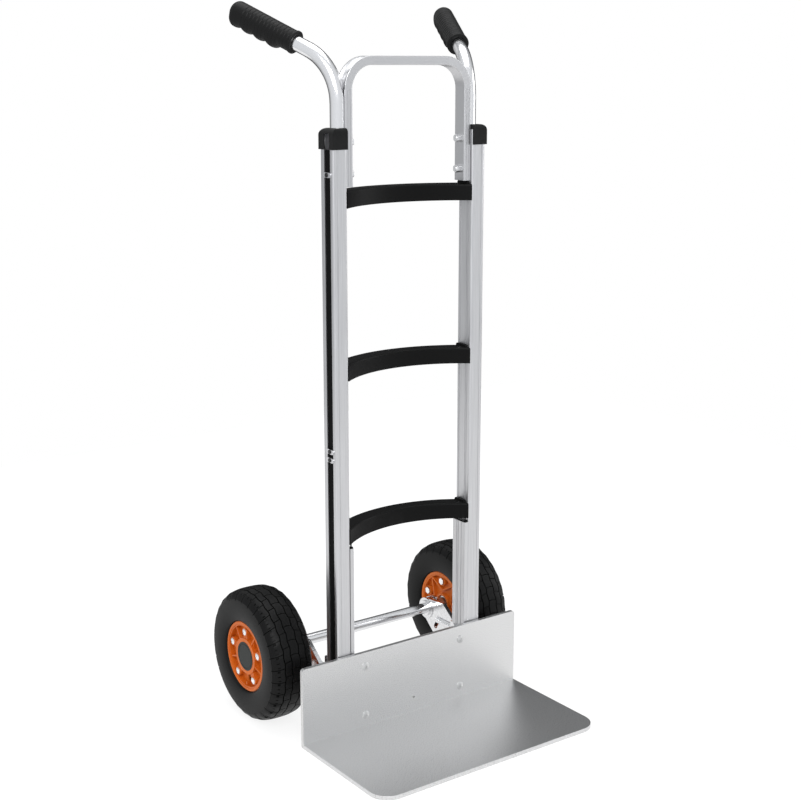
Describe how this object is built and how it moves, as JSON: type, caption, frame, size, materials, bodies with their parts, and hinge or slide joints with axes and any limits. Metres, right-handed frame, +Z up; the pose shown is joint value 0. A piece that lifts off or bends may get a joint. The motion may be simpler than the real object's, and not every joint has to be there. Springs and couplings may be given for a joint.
{
  "type": "hand truck",
  "caption": "Upright two-wheeled hand truck: bent toe plate, slotted rails, bowed rungs, top loop, swept rear handles with finger grips, pneumatic tyres on split rims.",
  "frame": {"origin": "underside of the toe plate, straight below its load face and half way across the truck, at floor level with the truck standing upright", "axes": "+Z up along the rails, +X to the right seen from the front, +Y to the back, towards the wheels and handles"},
  "size_m": [0.568, 0.562, 1.3573],
  "materials": {
    "toe_plate_aluminium": "satin, grainy",
    "rail_aluminium": "satin, extruded",
    "loop_aluminium": "satin, extruded",
    "tube_aluminium": "polished",
    "cast_aluminium": "bright, die cast",
    "bright_steel": "bright zinc",
    "zinc_steel": "zinc plated",
    "axle_steel": "ground",
    "black_steel": "black oxide",
    "black_strip": "matt",
    "rung_black": "satin, moulded",
    "cap_black": "matt, moulded",
    "grip_black": "satin, moulded",
    "tyre_rubber": "matt",
    "inner_tube_rubber": "matt",
    "valve_rubber": "matt",
    "rim_orange": "satin, moulded",
    "hub_cap_black": "satin"
  },
  "bodies": {
    "frame": {"toe_plate": "toe_plate_aluminium", "toe_plate_bolts": "bright_steel", "toe_plate_nuts": "zinc_steel", "left_rail": "rail_aluminium", "left_rail_liner": "rail_aluminium", "right_rail": "rail_aluminium", "right_rail_liner": "rail_aluminium", "left_slot_strip": "black_strip", "right_slot_strip": "black_strip", "slot_clips": "zinc_steel", "slot_clip_screws": "black_steel", "lower_rung": "rung_black", "middle_rung": "rung_black", "upper_rung": "rung_black", "rung_bolts": "zinc_steel", "top_loop": "loop_aluminium", "loop_bolts": "bright_steel", "loop_nuts": "bright_steel", "left_rail_cap": "cap_black", "right_rail_cap": "cap_black", "left_handle_tube": "tube_aluminium", "right_handle_tube": "tube_aluminium", "left_grip": "grip_black", "right_grip": "grip_black", "left_bracket": "cast_aluminium", "right_bracket": "cast_aluminium", "bracket_bolts": "zinc_steel", "bracket_nuts": "zinc_steel", "axle": "axle_steel", "axle_sleeve": "tube_aluminium", "left_wheel_spacer": "zinc_steel", "right_wheel_spacer": "zinc_steel", "axle_washers": "zinc_steel", "axle_clips": "zinc_steel"},
    "left_wheel": {"left_tyre": "tyre_rubber", "left_inner_tube": "inner_tube_rubber", "left_rim_outer": "rim_orange", "left_rim_inner": "rim_orange", "left_rim_bolts": "bright_steel", "left_rim_nuts": "bright_steel", "left_valve": "valve_rubber", "left_bearings": "zinc_steel", "left_bearing_spacer": "zinc_steel", "left_hub_cap": "hub_cap_black"},
    "right_wheel": {"right_tyre": "tyre_rubber", "right_inner_tube": "inner_tube_rubber", "right_rim_outer": "rim_orange", "right_rim_inner": "rim_orange", "right_rim_bolts": "bright_steel", "right_rim_nuts": "bright_steel", "right_valve": "valve_rubber", "right_bearings": "zinc_steel", "right_bearing_spacer": "zinc_steel", "right_hub_cap": "hub_cap_black"}
  },
  "joints": [
    {"name": "left_wheel_spin", "type": "hinge", "parent": "frame", "child": "left_wheel", "pos_m": [-0.239, 0.176, 0.13], "axis": [1, 0, 0], "continuous": true},
    {"name": "right_wheel_spin", "type": "hinge", "parent": "frame", "child": "right_wheel", "pos_m": [0.239, 0.176, 0.13], "axis": [1, 0, 0], "continuous": true}
  ]
}
